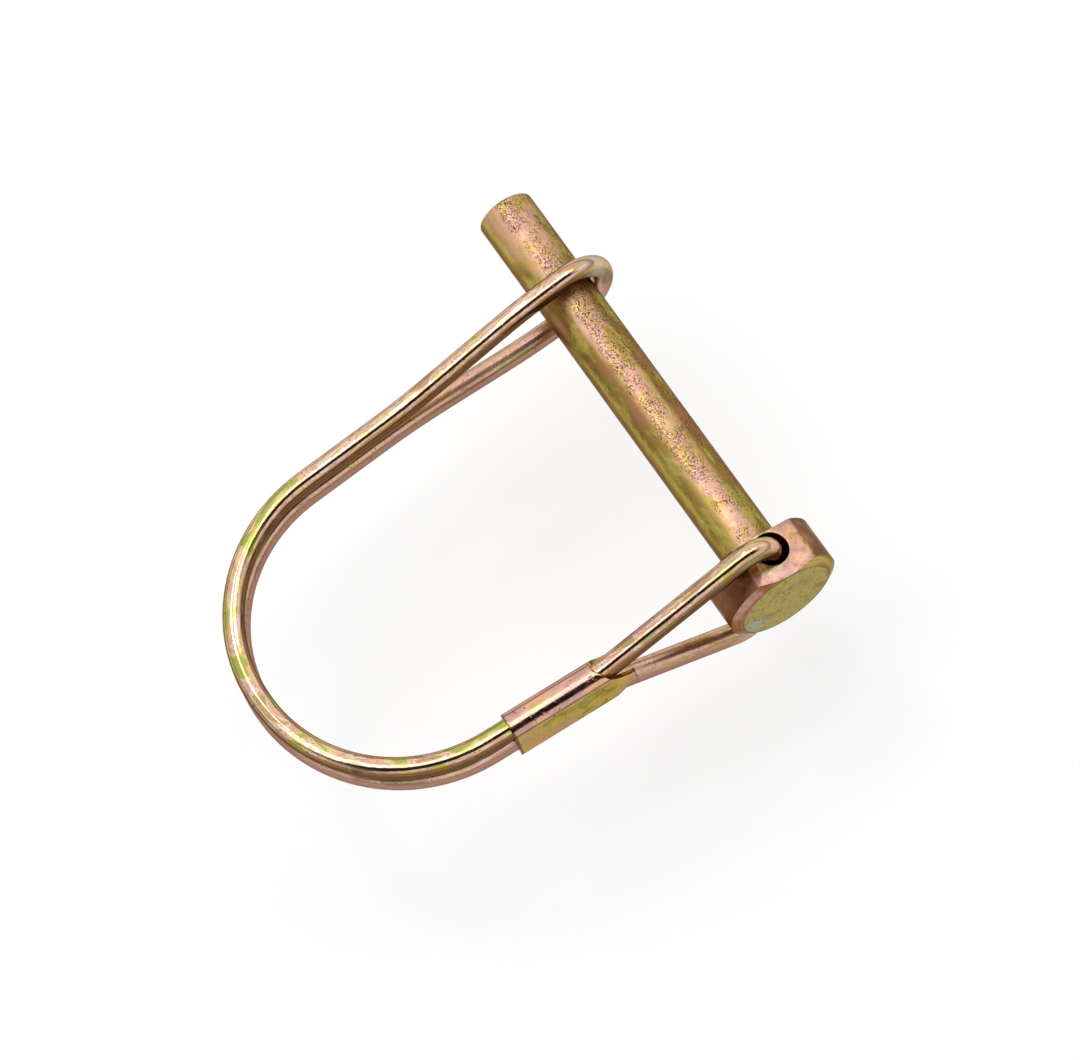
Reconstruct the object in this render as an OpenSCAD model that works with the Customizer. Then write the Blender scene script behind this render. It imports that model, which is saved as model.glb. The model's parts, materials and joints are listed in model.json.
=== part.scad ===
// Hitch pin lock: a headed pin with a sprung double wire bail. The bail hinges in the
// pin's head and its closed eye snaps round the shank near the tip.
// Origin: centre of the head's underside, on the pin's axis.
// +X runs along the shank to its tip, +Y towards the bail's arch, +Z square to the bail.

/* [Pin] */
// Diameter of the shank
shank_d = 6.35; // [5:0.05:8]
// Length of the shank, from the head's underside to the tip
shank_len = 48.1; // [44:0.1:60]
// Edge break at the tip
tip_chamfer = 0.5; // [0.2:0.1:1]
// Diameter of the head
head_d = 12.7; // [12:0.1:16]
// Thickness of the head, flat end face included
head_t = 5.6; // [5.2:0.1:8]
// Length of the head's turned chamfer, along the pin
head_chamfer_len = 0.6; // [0.3:0.1:1.2]
// Depth of the head's turned chamfer, from its side to its end face
head_chamfer_depth = 1.0; // [0.5:0.1:2]
// Depth of each of the two flats cut in the head's side
flat_depth = 0.95; // [0.6:0.05:1.3]
// Diameter of the cross hole through the flats
cross_hole_d = 3.7; // [3.4:0.1:3.9]
// Distance of the cross hole's axis from the head's underside
cross_hole_x = 2.0; // [2:0.1:3]
// Turn of the flats and the cross hole about the pin's axis, from square to the bail
head_roll = 12; // [0:1:14]

/* [Wire bail] */
// Diameter of the spring wire
wire_d = 2.38; // [2:0.01:2.5]
// Distance between the two strands' centres in the arch and the ferrule
strand_gap = 3.32; // [3:0.02:3.6]
// Reach of the arch from the pin's axis to the strands' centres
arch_reach = 50.5; // [46:0.5:60]
// Distance of the eye from the head's underside
eye_x = 36.0; // [32:0.5:40]
// Clearance between the shank and the eye's wire
eye_clearance = 0.22; // [0.1:0.02:0.5]
// Lean of the upper run, from square to the pin
upper_lean = 3.3; // [0:0.1:5]
// Lean of the lower run, from square to the pin
lower_lean = 2.0; // [0:0.1:4]
// Distance from the pin's axis to where the two strands start to part for the eye
eye_part_y = 21; // [18:0.5:26]
// Distance from the pin's axis to where they lie parallel beside the shank
eye_straight_y = 5; // [4:0.5:8]
// Centreline radius of the bends where the strands part in the ferrule
part_bend_r = 8; // [5:0.5:12]
// Centreline radius of the gentle bends that spread the strands for the eye
spread_bend_r = 40; // [8:1:44]
// Height of each leg's outer corner over the flat it turns in at
leg_rise = 4.9; // [4.5:0.1:7]
// How far the bail has slid sideways along its cross hole, towards -Z
leg_shift = 0.6; // [0:0.1:1]
// Centreline radius of the bend from each leg into the cross hole
leg_bend_r = 2.4; // [2:0.1:2.8]
// Gap left between the cross hole's wall and the hinge wire, where the spring pulls it over
hinge_gap = 0.16; // [0.1:0.02:0.4]
// Direction of that pull, from the head's end towards the arch
hinge_pull = 37; // [0:1:60]
// Gap between the wire's two ends, inside the ferrule
wire_end_gap = 0.4; // [0.2:0.1:1]
// How much the wire swells in radius where it has been bent
bend_swell = 0.005; // [0.005:0.005:0.02]

/* [Ferrule] */
// Length of the ferrule along the wire
ferrule_len = 14.2; // [12:0.1:18]
// Distance from the pin's axis to the ferrule's end nearest the pin
ferrule_y = 17.0; // [15:0.1:20]
// Thickness of the ferrule's sheet
ferrule_wall = 0.5; // [0.4:0.05:0.8]
// How deep the crimped sheet bites on the wire
crimp_bite = 0.03; // [0.01:0.01:0.05]
// Outside radius of the two corners on the ferrule's flat back
ferrule_back_r = 0.55; // [0.3:0.05:0.8]
// Outside radius of the two corners on its folded front
ferrule_front_r = 1.5; // [1:0.05:1.6]
// Width of the open seam between the sheet's edges
seam_gap = 0.3; // [0.2:0.05:0.6]
// Radius of the mouth cut out of each side where a leg leaves the ferrule
mouth_r = 4.2; // [3:0.1:5]
// Depth of those mouths along the ferrule
mouth_depth = 3.3; // [2:0.1:4]
// Width of the tongue left between them at the ferrule's end
tongue_w = 2.3; // [1.5:0.1:3]

/* [Hidden] */
$fn = 48;

// overrun that carries a cut clear of the face it starts from
cut = 1;
// how far a straight run of wire reaches into the bends at its ends
knit = 0.05;
// shortest straight run left at the crown of the arch and of the eye
crown = 0.3;
// inside radius of the sharp folds along the ferrule's back
fold_r = 0.1;

head_r = head_d / 2;
wire_r = wire_d / 2;
strand_z = strand_gap / 2;

// the flats' distance from the pin's axis
flat_z = head_r - flat_depth;

// the hinge line: the cross hole's direction, and the point of the wire on it
hinge_dir = [0, -sin(head_roll), cos(head_roll)];
hinge_side = [0, cos(head_roll), sin(head_roll)];
hinge_slack = (cross_hole_d - wire_d) / 2 - hinge_gap;
hinge_point = [-cross_hole_x - hinge_slack * cos(hinge_pull), 0, 0]
    + hinge_slack * sin(hinge_pull) * hinge_side;

// the two runs as straight lines in the bail's plane: X at a distance y from the pin's axis
function upper_x(y) = eye_x - y * tan(upper_lean);
function lower_x(y) = hinge_point.x + (y - hinge_point.y) * tan(lower_lean);

// half the gap between the strands at the eye, and the eye's half round
eye_z = shank_d / 2 + eye_clearance + wire_r;

// the arch is one full round between the two runs, but for its short crown
arch_r = (upper_x(arch_reach) - lower_x(arch_reach) - crown)
    / (tan((90 - upper_lean) / 2) + tan((90 - lower_lean) / 2));

// where the legs part: level with the bottom of the mouths in the ferrule
leg_part_y = ferrule_y + mouth_depth;
// distance from the hinge point to each leg's corner, along the hinge line
function corner_run(side) = flat_z + leg_rise - side * leg_shift;

// the ferrule's middle, and the half widths of its cavity
ferrule_mid_y = ferrule_y + ferrule_len / 2;
cavity_x = wire_r - crimp_bite;
cavity_z = strand_z + wire_r - crimp_bite;

// ---- the wire's route: corner points, each with the radius of the bend that rounds it ----

function lower_point(y, side) = [lower_x(y), y, side * strand_z];
function upper_point(y, z) = [upper_x(y), y, z];

// from the parting in the ferrule, round the arch and down to the eye's crown, on one side
function side_route(side) = [
    [lower_point(leg_part_y, side), part_bend_r],
    [lower_point(arch_reach, side), arch_r],
    [upper_point(arch_reach, side * strand_z), arch_r],
    [upper_point(eye_part_y, side * strand_z), spread_bend_r],
    [upper_point(eye_straight_y, side * eye_z), spread_bend_r],
    [upper_point(-eye_z, side * eye_z), eye_z - crown / 2]
];
function backwards(list) = [for (i = [len(list) - 1:-1:0]) list[i]];

wire_route = concat(
    [[lower_point(ferrule_mid_y - wire_end_gap / 2, 1), 0]],
    [[lower_point(leg_part_y, 1), part_bend_r]],
    [for (side = [1, -1]) [hinge_point + side * corner_run(side) * hinge_dir, leg_bend_r]],
    side_route(-1),
    [for (step = backwards(side_route(1))) if (step[0].y != leg_part_y) step],
    [[lower_point(ferrule_mid_y + wire_end_gap / 2, 1), 0]]
);

function unit(v) = v / norm(v);
function heading(i) = unit(wire_route[i + 1][0] - wire_route[i][0]);
// the angle the wire turns through at corner i, and how much of each side the bend takes up
function turn_at(i) = acos(heading(i - 1) * heading(i));
function trim_at(i) =
    i == 0 || i == len(wire_route) - 1 ? 0 : wire_route[i][1] * tan(turn_at(i) / 2);
function run_from(i) = wire_route[i][0] + trim_at(i) * heading(i);
function run_length(i) =
    norm(wire_route[i + 1][0] - wire_route[i][0]) - trim_at(i) - trim_at(i + 1);

// places a child so that its X, Y and Z lie along the given directions, at a point
module placed(x, y, z, at) {
    multmatrix([
        [x.x, y.x, z.x, at.x],
        [x.y, y.y, z.y, at.y],
        [x.z, y.z, z.z, at.z],
        [0, 0, 0, 1]
    ]) children();
}

module straight_run(i) {
    z = heading(i);
    x = unit(cross(z, abs(z.x) < 0.9 ? [1, 0, 0] : [0, 1, 0]));
    before = trim_at(i) > 0 ? knit : 0;
    after = trim_at(i + 1) > 0 ? knit : 0;
    placed(x, cross(z, x), z, run_from(i) - before * z)
        cylinder(r = wire_r, h = run_length(i) + before + after);
}

module bend(i) {
    y = heading(i - 1);
    z = unit(cross(y, heading(i)));
    x = cross(y, z);
    start = wire_route[i][0] - trim_at(i) * y;
    placed(x, y, z, start - wire_route[i][1] * x)
        rotate_extrude(angle = turn_at(i))
            translate([wire_route[i][1], 0]) circle(r = wire_r + bend_swell);
}

// ---- sub-parts ----

// the headed pin: shank, head with a turned chamfer, two flats and the cross hole
module pin() {
    shank_r = shank_d / 2;
    color([0.80, 0.68, 0.42])
    difference() {
        rotate([0, 90, 0]) rotate_extrude() polygon([
            [0, -head_t],
            [head_r - head_chamfer_depth, -head_t],
            [head_r, -head_t + head_chamfer_len],
            [head_r, 0],
            [shank_r, 0],
            [shank_r, shank_len - tip_chamfer],
            [shank_r - tip_chamfer, shank_len],
            [0, shank_len]
        ]);
        rotate([head_roll, 0, 0]) {
            for (side = [-1, 1])
                translate([-head_t - cut, -head_r - cut, side > 0 ? flat_z : -head_r - cut])
                    cube([head_t + cut, head_d + 2 * cut, flat_depth + cut]);
            translate([-cross_hole_x, 0, -head_r])
                cylinder(d = cross_hole_d, h = head_d);
        }
    }
}

// the spring wire: one length, from its butted ends in the ferrule through the head's
// hole, round the arch and the eye, and back
module bail_wire() {
    color([0.86, 0.70, 0.52])
    union() {
        for (i = [0:len(wire_route) - 2])
            straight_run(i);
        for (i = [1:len(wire_route) - 2])
            bend(i);
    }
}

// a rounded outline: its back corners face away from the bail's inside, its front ones inwards
module rounded_box(half_x, half_z, back_r, front_r) {
    translate([-half_x + back_r, -half_z]) square([2 * half_x - back_r - front_r, 2 * half_z]);
    translate([-half_x, -half_z + back_r]) square([half_x, 2 * (half_z - back_r)]);
    translate([0, -half_z + front_r]) square([half_x, 2 * (half_z - front_r)]);
    for (side = [-1, 1]) {
        translate([-half_x + back_r, side * (half_z - back_r)]) circle(r = back_r);
        translate([half_x - front_r, side * (half_z - front_r)]) circle(r = front_r);
    }
}

// the crimped ferrule: a flat-backed sleeve of folded sheet with an open front seam
module ferrule() {
    outer_x = cavity_x + ferrule_wall;
    outer_z = cavity_z + ferrule_wall;
    mouth_start = mouth_depth - mouth_r;
    mouth_z = tongue_w / 2 + sqrt(mouth_r * mouth_r - mouth_start * mouth_start);
    color([0.74, 0.70, 0.36])
    translate([lower_x(ferrule_mid_y), ferrule_mid_y, 0])
    rotate([0, 0, -lower_lean])
    difference() {
        rotate([90, 0, 0]) linear_extrude(height = ferrule_len, center = true)
            difference() {
                rounded_box(outer_x, outer_z, ferrule_back_r, ferrule_front_r);
                rounded_box(cavity_x, cavity_z, fold_r, ferrule_front_r - ferrule_wall);
                translate([0, -seam_gap / 2]) square([outer_x + cut, seam_gap]);
            }
        for (side = [-1, 1])
            translate([-outer_x - cut, -ferrule_len / 2 + mouth_start, side * mouth_z])
                rotate([0, 90, 0]) cylinder(r = mouth_r, h = 2 * (outer_x + cut));
    }
}

pin();
bail_wire();
ferrule();
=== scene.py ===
"""Looks of a hitch pin lock: a plated pin, its sprung wire bail and the bail's ferrule."""

import json
import logging
import math
from dataclasses import dataclass, field
from enum import Enum, IntEnum

import bmesh
import bpy
from mathutils import Matrix, Vector


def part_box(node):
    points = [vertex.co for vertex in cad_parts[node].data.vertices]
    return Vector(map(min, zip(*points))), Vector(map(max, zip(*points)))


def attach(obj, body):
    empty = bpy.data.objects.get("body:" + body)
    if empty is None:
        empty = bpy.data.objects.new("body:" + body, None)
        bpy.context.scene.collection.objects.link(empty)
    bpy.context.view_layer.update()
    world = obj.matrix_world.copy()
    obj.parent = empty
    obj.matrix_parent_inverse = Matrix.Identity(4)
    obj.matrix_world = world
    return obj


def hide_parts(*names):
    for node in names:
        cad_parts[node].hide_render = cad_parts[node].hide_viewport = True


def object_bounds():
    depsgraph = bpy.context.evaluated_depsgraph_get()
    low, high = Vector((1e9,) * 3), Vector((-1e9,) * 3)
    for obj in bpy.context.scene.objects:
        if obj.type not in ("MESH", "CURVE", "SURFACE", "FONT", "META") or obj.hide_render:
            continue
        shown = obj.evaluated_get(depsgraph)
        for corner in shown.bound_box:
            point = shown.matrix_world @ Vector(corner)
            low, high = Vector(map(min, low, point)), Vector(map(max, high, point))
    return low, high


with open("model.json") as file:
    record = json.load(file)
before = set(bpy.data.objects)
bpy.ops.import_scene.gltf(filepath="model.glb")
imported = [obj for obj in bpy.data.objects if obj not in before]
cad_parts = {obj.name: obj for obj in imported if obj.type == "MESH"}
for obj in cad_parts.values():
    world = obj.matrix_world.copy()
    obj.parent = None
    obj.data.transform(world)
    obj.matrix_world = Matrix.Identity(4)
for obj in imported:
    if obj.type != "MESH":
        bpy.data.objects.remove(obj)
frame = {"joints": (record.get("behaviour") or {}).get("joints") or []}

logging.basicConfig(level=logging.INFO, format="%(message)s")
LOG = logging.getLogger("hitch_pin_lock")

Socket = bpy.types.NodeSocket
Signal = Socket | float
Triple = tuple[float, float, float]

MM = 0.001
MERGE = 1e-7
SAME_LEVEL = 1e-6
SLIVER = 0.001 * MM
WHITE = (1.0, 1.0, 1.0, 1.0)
GLANCING_TINT = (0.60, 0.53, 0.46, 1.0)
CAD_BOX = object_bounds()
FULL_TURN = 2 * math.pi
X_AXIS = Vector((1, 0, 0))
Y_AXIS = Vector((0, 1, 0))
Z_AXIS = Vector((0, 0, 1))
SORT_WAY = Vector((1.0, 0.618, 0.382))


def from_screen(red: int, green: int, blue: int) -> tuple[float, float, float, float]:
    """Turns a screen colour into the linear colour that a shader takes.

    Args:
        red: Red, 0 to 255.
        green: Green, 0 to 255.
        blue: Blue, 0 to 255.

    Returns:
        The linear red, green and blue, and an alpha of 1.
    """

    def linear(level: int) -> float:
        """Undoes the screen's tone curve for one channel."""
        share = level / 255
        return share / 12.92 if share <= 0.04045 else ((share + 0.055) / 1.055) ** 2.4

    return (linear(red), linear(green), linear(blue), 1.0)


class Hue(Enum):
    """The colours that a yellow zinc finish runs through as its film gets thicker; BROWN, EDGE and
    PIT also paint shade in places.
    """

    STRAW = from_screen(226, 208, 160)
    GOLD = from_screen(206, 172, 98)
    DEEP_GOLD = from_screen(172, 134, 62)
    OLIVE = from_screen(152, 128, 60)
    LEAF = from_screen(192, 176, 90)
    LIME = from_screen(164, 172, 94)
    PALE_GREEN = from_screen(174, 168, 116)
    BLUE_GREY = from_screen(168, 182, 168)
    SALMON = from_screen(226, 174, 144)
    ROSE = from_screen(210, 164, 148)
    MAUVE = from_screen(190, 146, 138)
    PALE_PINK = from_screen(232, 206, 190)
    WORN = from_screen(186, 172, 150)
    COPPER = from_screen(172, 118, 84)
    BROWN = from_screen(118, 82, 54)
    EDGE = from_screen(98, 68, 44)
    PIT = from_screen(44, 28, 14)


class Zone(IntEnum):
    """The pin's surfaces, each with a finish of its own."""

    SHANK = 0
    HEAD = 1
    CHAMFER = 2
    END = 3
    HOLE = 4


class Board:
    """A node tree, with short calls for the nodes that the finishes are made of."""

    def __init__(self, tree: bpy.types.NodeTree) -> None:
        """Empties the tree.

        Args:
            tree: The tree to build in.
        """
        tree.nodes.clear()
        self.tree = tree

    def add(self, kind: str, inputs: dict | None = None, **settings: object) -> bpy.types.Node:
        """Adds a node.

        Args:
            kind: Blender's name for the node.
            inputs: Values or sockets for the node's inputs, by name or number.
            **settings: Values for the node's own properties.

        Returns:
            The new node.
        """
        node = self.tree.nodes.new(kind)
        for name, value in settings.items():
            setattr(node, name, value)
        for key, value in (inputs or {}).items():
            if isinstance(value, Socket):
                self.tree.links.new(value, node.inputs[key])
            elif value is not None:
                node.inputs[key].default_value = value
        return node

    def math(
        self, operation: str, first: Signal, second: Signal | None = None,
        third: Signal | None = None,
    ) -> Socket:
        """Adds a sum.

        Args:
            operation: Blender's name for the operation.
            first: First value or socket.
            second: Second value or socket.
            third: Third value or socket.

        Returns:
            The result's socket.
        """
        values = {0: first, 1: second, 2: third}
        return self.add("ShaderNodeMath", values, operation=operation).outputs[0]

    def times(self, first: Signal, second: Signal) -> Socket:
        """Multiplies two values or sockets."""
        return self.math("MULTIPLY", first, second)

    def parts(self, vector: Socket) -> bpy.types.NodeOutputs:
        """Splits a vector into its X, Y and Z sockets."""
        return self.add("ShaderNodeSeparateXYZ", {0: vector}).outputs

    def length(self, vector: Socket) -> Socket:
        """Returns the socket of a vector's length."""
        return self.add("ShaderNodeVectorMath", {0: vector}, operation="LENGTH").outputs[1]

    def along(self, vector: Socket, way: Triple) -> Socket:
        """Returns the socket of how far a vector reaches along a direction."""
        values = {0: vector, 1: way}
        return self.add("ShaderNodeVectorMath", values, operation="DOT_PRODUCT").outputs[1]

    def span(
        self, value: Signal, low: float, high: float, start: float = 0.0, end: float = 1.0
    ) -> Socket:
        """Maps a value smoothly from one range to another, held at its ends.

        Args:
            value: The socket to map.
            low: Value that gives start.
            high: Value that gives end.
            start: Result at and below low.
            end: Result at and above high.

        Returns:
            The result's socket.
        """
        values = {"Value": value, 1: low, 2: high, 3: start, 4: end}
        node = self.add("ShaderNodeMapRange", values, interpolation_type="SMOOTHSTEP")
        return node.outputs[0]

    def stretched(self, place: Socket, scale: Triple) -> Socket:
        """Scales a place, so that a pattern read from it is drawn out.

        Args:
            place: The place's socket.
            scale: Factor along each axis.

        Returns:
            The scaled place's socket.
        """
        return self.add("ShaderNodeMapping", {"Vector": place, "Scale": scale}).outputs[0]

    def noise(
        self, place: Socket, scale: float, detail: float = 3, rough: float = 0.55, warp: float = 0
    ) -> Socket:
        """Adds cloudy noise.

        Args:
            place: Socket that the noise is read at, in metres.
            scale: Clouds per metre.
            detail: Octaves.
            rough: How strong the finer octaves are.
            warp: How far the clouds are pulled about.

        Returns:
            The noise's socket, from 0 to 1.
        """
        values = {"Vector": place, "Scale": scale, "Detail": detail, "Roughness": rough,
                  "Distortion": warp}
        return self.add("ShaderNodeTexNoise", values).outputs[0]

    def cells(self, place: Socket, scale: float) -> Socket:
        """Adds the distance to the nearest of many scattered points.

        Args:
            place: Socket that the points are scattered in, in metres.
            scale: Points per metre.

        Returns:
            The distance's socket.
        """
        return self.add("ShaderNodeTexVoronoi", {"Vector": place, "Scale": scale}).outputs[0]

    def ramp(self, value: Socket, stops: list[tuple[float, Hue]]) -> Socket:
        """Turns a value into one of a row of colours.

        Args:
            value: The socket to colour.
            stops: Places along the row, each with its colour.

        Returns:
            The colour's socket.
        """
        node = self.add("ShaderNodeValToRGB", {0: value})
        row = node.color_ramp.elements
        while len(row) < len(stops):
            row.new(1.0)
        for element, (place, hue) in zip(row, stops):
            element.position = place
            element.color = hue.value
        return node.outputs[0]

    def mix(self, share: Signal, first: Socket | Hue | tuple, second: Socket | Hue) -> Socket:
        """Mixes two colours.

        Args:
            share: How much of the second colour, a value or a socket.
            first: First colour or socket.
            second: Second colour or socket.

        Returns:
            The mixed colour's socket.
        """
        first = first.value if isinstance(first, Hue) else first
        second = second.value if isinstance(second, Hue) else second
        values = {"Factor": share, 6: first, 7: second}
        return self.add("ShaderNodeMix", values, data_type="RGBA").outputs[2]

    def bump(self, height: Socket, depth: float, under: Socket | None = None) -> Socket:
        """Adds small relief.

        Args:
            height: The relief's socket, 0 to 1.
            depth: How deep a step from 0 to 1 is, in metres.
            under: Normal socket of a relief under this one.

        Returns:
            The normal's socket.
        """
        values = {"Height": height, "Distance": depth, "Strength": 1.0, "Normal": under}
        return self.add("ShaderNodeBump", values).outputs[0]


@dataclass(frozen=True)
class Finish:
    """A plated steel finish. Each kind of surface has its own subclass."""

    name: str

    def material(self) -> bpy.types.Material:
        """Makes the finish's material.

        Returns:
            The material.
        """
        made = bpy.data.materials.new(self.name)
        made.use_nodes = True
        board = Board(made.node_tree)
        colour, roughness, normal = self.surface(board)
        shader = board.add(
            "ShaderNodeBsdfPrincipled",
            {"Base Color": colour, "Roughness": roughness, "Metallic": 1.0, "Normal": normal,
             "Specular Tint": GLANCING_TINT},
        )
        board.add("ShaderNodeOutputMaterial", {0: shader.outputs[0]})
        return made

    def surface(self, board: Board) -> tuple[Socket, Socket, Socket]:
        """Builds the finish's pattern.

        Args:
            board: The material's tree.

        Returns:
            The sockets of its colour, its roughness and its normal.
        """
        raise NotImplementedError

    @staticmethod
    def place(board: Board) -> Socket:
        """Returns the socket of the object's own coordinates."""
        return board.add("ShaderNodeTexCoord").outputs["Object"]


@dataclass(frozen=True)
class WireFinish(Finish):
    """Smooth drawn wire, banded pink and gold along its length, with painted shade deepening its
    sides to a dark edge.
    """

    radius: float = 1.19 * MM

    def surface(self, board: Board) -> tuple[Socket, Socket, Socket]:
        """Builds the wire's pattern from its unrolled coordinates.

        Args:
            board: The material's tree.

        Returns:
            The sockets of its colour, its roughness and its normal.
        """
        lay = board.add("ShaderNodeAttribute", attribute_name="lay").outputs["Vector"]
        split = board.parts(lay)
        flank = board.math("ABSOLUTE", board.math("DIVIDE", split[1], self.radius))
        drawn = board.stretched(lay, (0.10, 1.0, 1.0))
        patches = board.noise(board.stretched(lay, (0.65, 1.3, 1.3)), 290, 4, 0.6, 0.7)
        streaks = board.noise(drawn, 1500, 3)
        bands = board.math("ADD", patches, board.math("MULTIPLY_ADD", streaks, 0.26, -0.13))
        top = board.ramp(bands, [(0.34, Hue.LIME), (0.40, Hue.LEAF), (0.44, Hue.STRAW),
                                 (0.48, Hue.SALMON), (0.52, Hue.ROSE), (0.56, Hue.PALE_PINK),
                                 (0.60, Hue.GOLD), (0.65, Hue.MAUVE), (0.70, Hue.LIME)])
        # painted shade: the wire's sides, by how far a point lies sideways across it, take darker
        # colours than its top and bottom
        sides = board.ramp(bands, [(0.32, Hue.LIME), (0.40, Hue.DEEP_GOLD), (0.47, Hue.COPPER),
                                   (0.53, Hue.OLIVE), (0.58, Hue.MAUVE), (0.66, Hue.BROWN)])
        edge = board.math("ADD", flank, board.math("MULTIPLY_ADD", streaks, 0.7, -0.35))
        colour = board.mix(board.span(edge, 0.55, 0.85), top, sides)
        # painted shade: the wire's sides darken to a dark edge
        rim = board.math("ADD", flank, board.math("MULTIPLY_ADD", patches, 0.16, -0.08))
        colour = board.mix(board.span(rim, 0.72, 0.93, 0.0, 0.9), colour, Hue.EDGE)
        colour = self.rubbed(board, colour, patches)
        specks = board.cells(board.stretched(lay, (0.6, 1, 1)), 3200)
        spot = board.span(specks, 0.10, 0.22, 1.0, 0.0)
        depth = board.parts(self.place(board))[2]
        under = board.span(depth, -0.2 * MM, -1.0 * MM)
        colour = board.mix(board.times(under, 0.45), colour, Hue.ROSE)
        rare = board.math("MULTIPLY_ADD", under, 0.12, board.noise(lay, 700, 2))
        rare = board.span(rare, 0.50, 0.62)
        pitted = board.times(spot, rare)
        colour = board.mix(board.times(pitted, 0.85), colour, Hue.PIT)
        roughness = board.span(board.noise(drawn, 2600, 3), 0.25, 0.75, 0.06, 0.16)
        roughness = board.math("MULTIPLY_ADD", under, 0.16, roughness)
        crackle = board.noise(board.stretched(lay, (0.5, 1, 1)), 5200, 3)
        relief = board.bump(board.noise(drawn, 2200, 4), 0.006 * MM)
        relief = board.bump(crackle, 0.005 * MM, relief)
        return colour, roughness, board.bump(pitted, -0.01 * MM, relief)

    def rubbed(self, board: Board, colour: Socket, patches: Socket) -> Socket:
        """Pales the plating where the wire rubs: on the eye's crown and at the hinge's bends.

        Args:
            board: The material's tree.
            colour: Socket of the colour so far.
            patches: Socket of the noise that breaks the rubbed places up.

        Returns:
            The colour's socket.
        """
        split = board.parts(self.place(board))
        crown = board.span(split[1], -1.5 * MM, -4.0 * MM)
        bends = board.span(board.math("ABSOLUTE", split[2]), 7.9 * MM, 9.2 * MM)
        broken = board.span(patches, 0.35, 0.60, 0.15, 0.7)
        grey = board.mix(broken, Hue.LEAF, Hue.WORN)
        colour = board.mix(board.times(crown, broken), colour, Hue.WORN)
        return board.mix(board.times(bends, broken), colour, grey)


@dataclass(frozen=True)
class ShankFinish(Finish):
    """Turned bar, pitted all over, rose along its top and olive down its sides, the darker sides
    partly painted shade, with painted shade at the side rims and a painted shadow under the eye.
    """

    radius: float = 3.175 * MM
    rose_from: float = 37 * MM
    eye_x: float = 35.6 * MM

    def surface(self, board: Board) -> tuple[Socket, Socket, Socket]:
        """Builds the shank's pattern from the pin's own coordinates.

        Args:
            board: The material's tree.

        Returns:
            The sockets of its colour, its roughness and its normal.
        """
        place = self.place(board)
        split = board.parts(place)
        across = board.math("DIVIDE", split[1], self.radius)
        clouds = board.noise(board.stretched(place, (0.45, 1, 1)), 210, 5, 0.62, 0.5)
        streaks = board.noise(board.stretched(place, (0.08, 1, 1)), 900, 3)
        wave = board.math("ADD", clouds, board.math("MULTIPLY_ADD", streaks, 0.3, -0.15))
        top = board.ramp(wave, [(0.34, Hue.LEAF), (0.41, Hue.GOLD), (0.47, Hue.SALMON),
                                (0.53, Hue.ROSE), (0.58, Hue.GOLD), (0.63, Hue.SALMON),
                                (0.70, Hue.LEAF)])
        # partly painted shade: the shank's sides take darker olive and copper than its rose top
        flank = board.ramp(wave, [(0.34, Hue.COPPER), (0.41, Hue.OLIVE), (0.49, Hue.LEAF),
                                  (0.57, Hue.OLIVE), (0.66, Hue.COPPER)])
        drift = board.math("MULTIPLY_ADD", clouds, 0.7, -0.35)
        side = board.math("ABSOLUTE", board.math("ADD", across, drift))
        tip = board.span(split[0], self.rose_from, self.rose_from + 6 * MM, 0.0, 0.35)
        side = board.math("SUBTRACT", side, tip)
        colour = board.mix(board.span(side, 0.22, 0.55), top, flank)
        # painted shade: brown along the side rims
        rim = board.math("ADD", board.math("ABSOLUTE", across), board.times(drift, 0.2))
        colour = board.mix(board.span(rim, 0.80, 1.0, 0.0, 0.85), colour, Hue.BROWN)
        # painted shadow: a brown band across the shank where the eye's wire lies on it
        eye_shadow = board.math("ABSOLUTE", board.math("SUBTRACT", split[0], self.eye_x))
        eye_shadow = board.math("ADD", eye_shadow, board.times(clouds, 1.5 * MM))
        colour = board.mix(board.span(eye_shadow, 1.6 * MM, 3.0 * MM, 0.6, 0.0), colour, Hue.BROWN)
        crumbs = board.noise(board.stretched(place, (0.7, 1, 1)), 7500, 3, 0.7)
        pits = board.span(crumbs, 0.52, 0.60)
        lit = board.span(across, 0.75, 0.15)
        where = board.noise(board.stretched(place, (0.6, 1, 1)), 520, 3, 0.6)
        where = board.span(board.times(where, lit), 0.34, 0.54)
        pits = board.times(pits, where)
        colour = board.mix(0.10, colour, Hue.BROWN)
        colour = board.mix(board.times(pits, 0.85), colour, Hue.PIT)
        roughness = board.span(board.noise(place, 1500, 4), 0.3, 0.7, 0.22, 0.38)
        grain = board.bump(board.noise(place, 6200, 4, 0.65), 0.026 * MM)
        return colour, roughness, board.bump(pits, -0.03 * MM, grain)


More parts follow.
